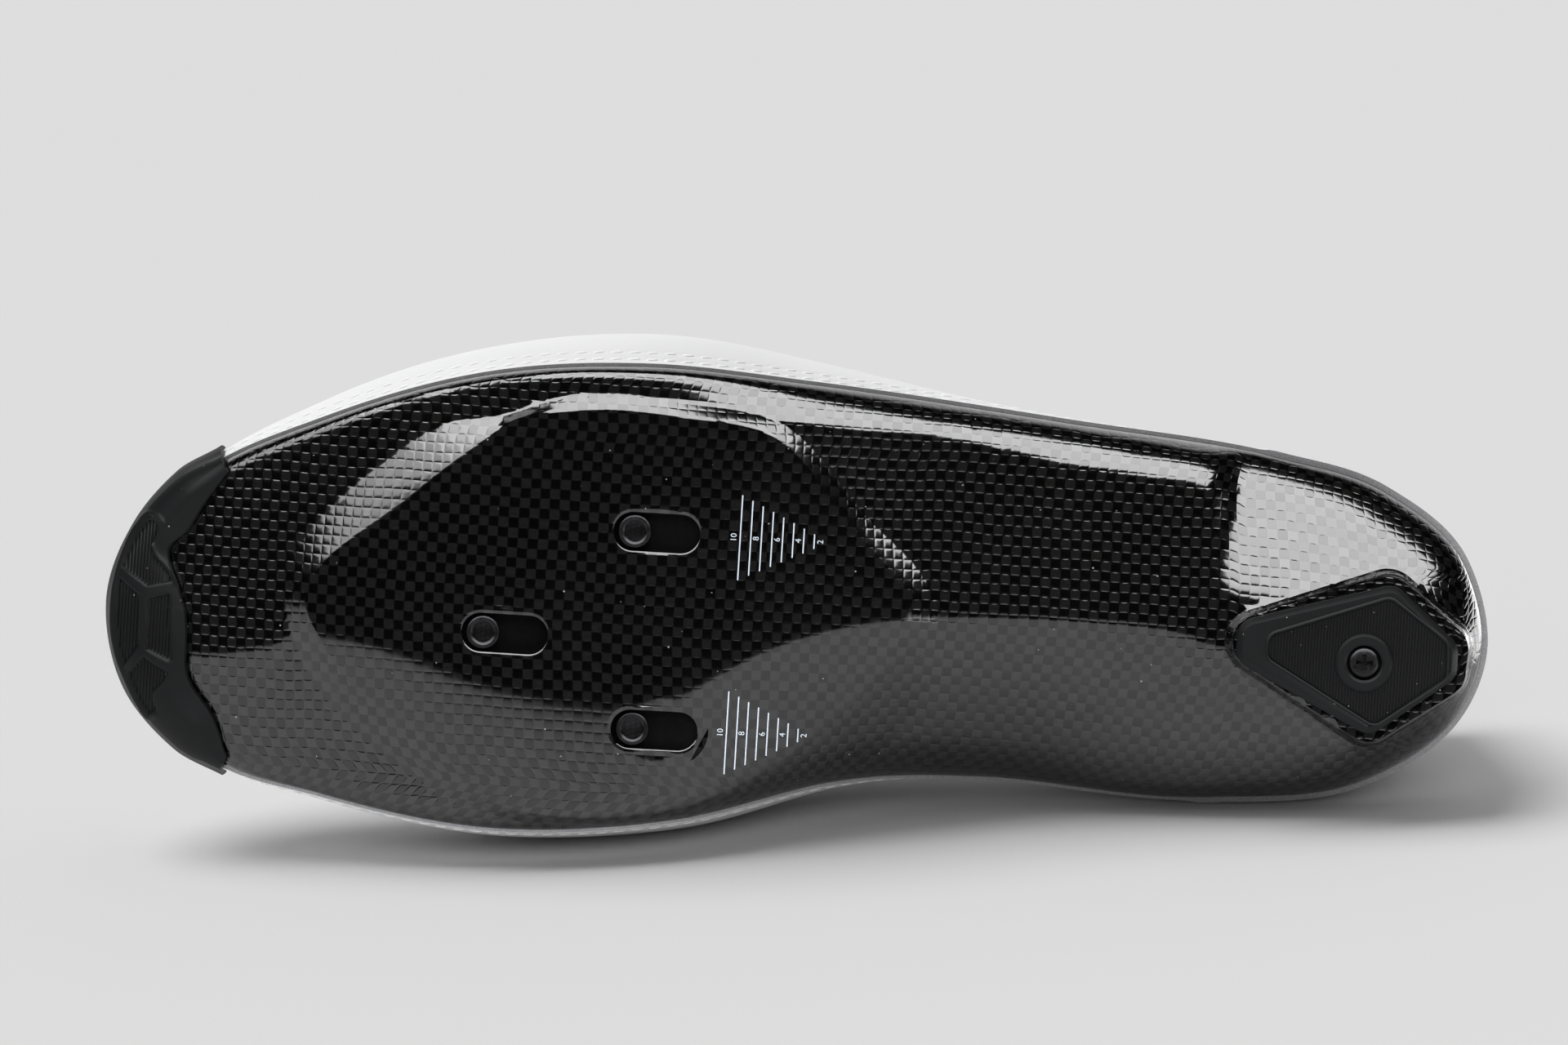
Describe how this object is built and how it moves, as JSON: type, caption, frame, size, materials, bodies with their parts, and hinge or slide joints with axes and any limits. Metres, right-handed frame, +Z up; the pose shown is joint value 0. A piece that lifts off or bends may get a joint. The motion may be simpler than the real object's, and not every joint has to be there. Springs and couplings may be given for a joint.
{
  "type": "road cycling shoe",
  "caption": "Left road cycling shoe lying on its inner side, with a rigid moulded sole, cleat slots with threaded nuts, a screwed heel pad and a toe bumper.",
  "frame": {"origin": "centre of the bounding box in plan, on the floor the shoe lies on", "axes": "+X from the toe to the heel, +Y from the sole's side to the throat's side, +Z up"},
  "size_m": [0.2838, 0.0962, 0.1024],
  "materials": {
    "carbon": "glossy woven carbon",
    "lining": "matt knitted lining",
    "white_synthetic": "satin synthetic leather",
    "black_rubber": "satin moulded rubber",
    "dark_steel": "dark coated steel",
    "white_lace": "round woven lace"
  },
  "bodies": {
    "root": {"sole": "carbon", "insole": "lining", "upper": "white_synthetic", "tongue": "white_synthetic", "toe_bumper": "black_rubber", "heel_pad": "black_rubber", "heel_pad_screw": "dark_steel", "cleat_nut_front": "dark_steel", "cleat_nut_lateral": "dark_steel", "cleat_nut_medial": "dark_steel", "lace": "white_lace"}
  },
  "joints": []
}
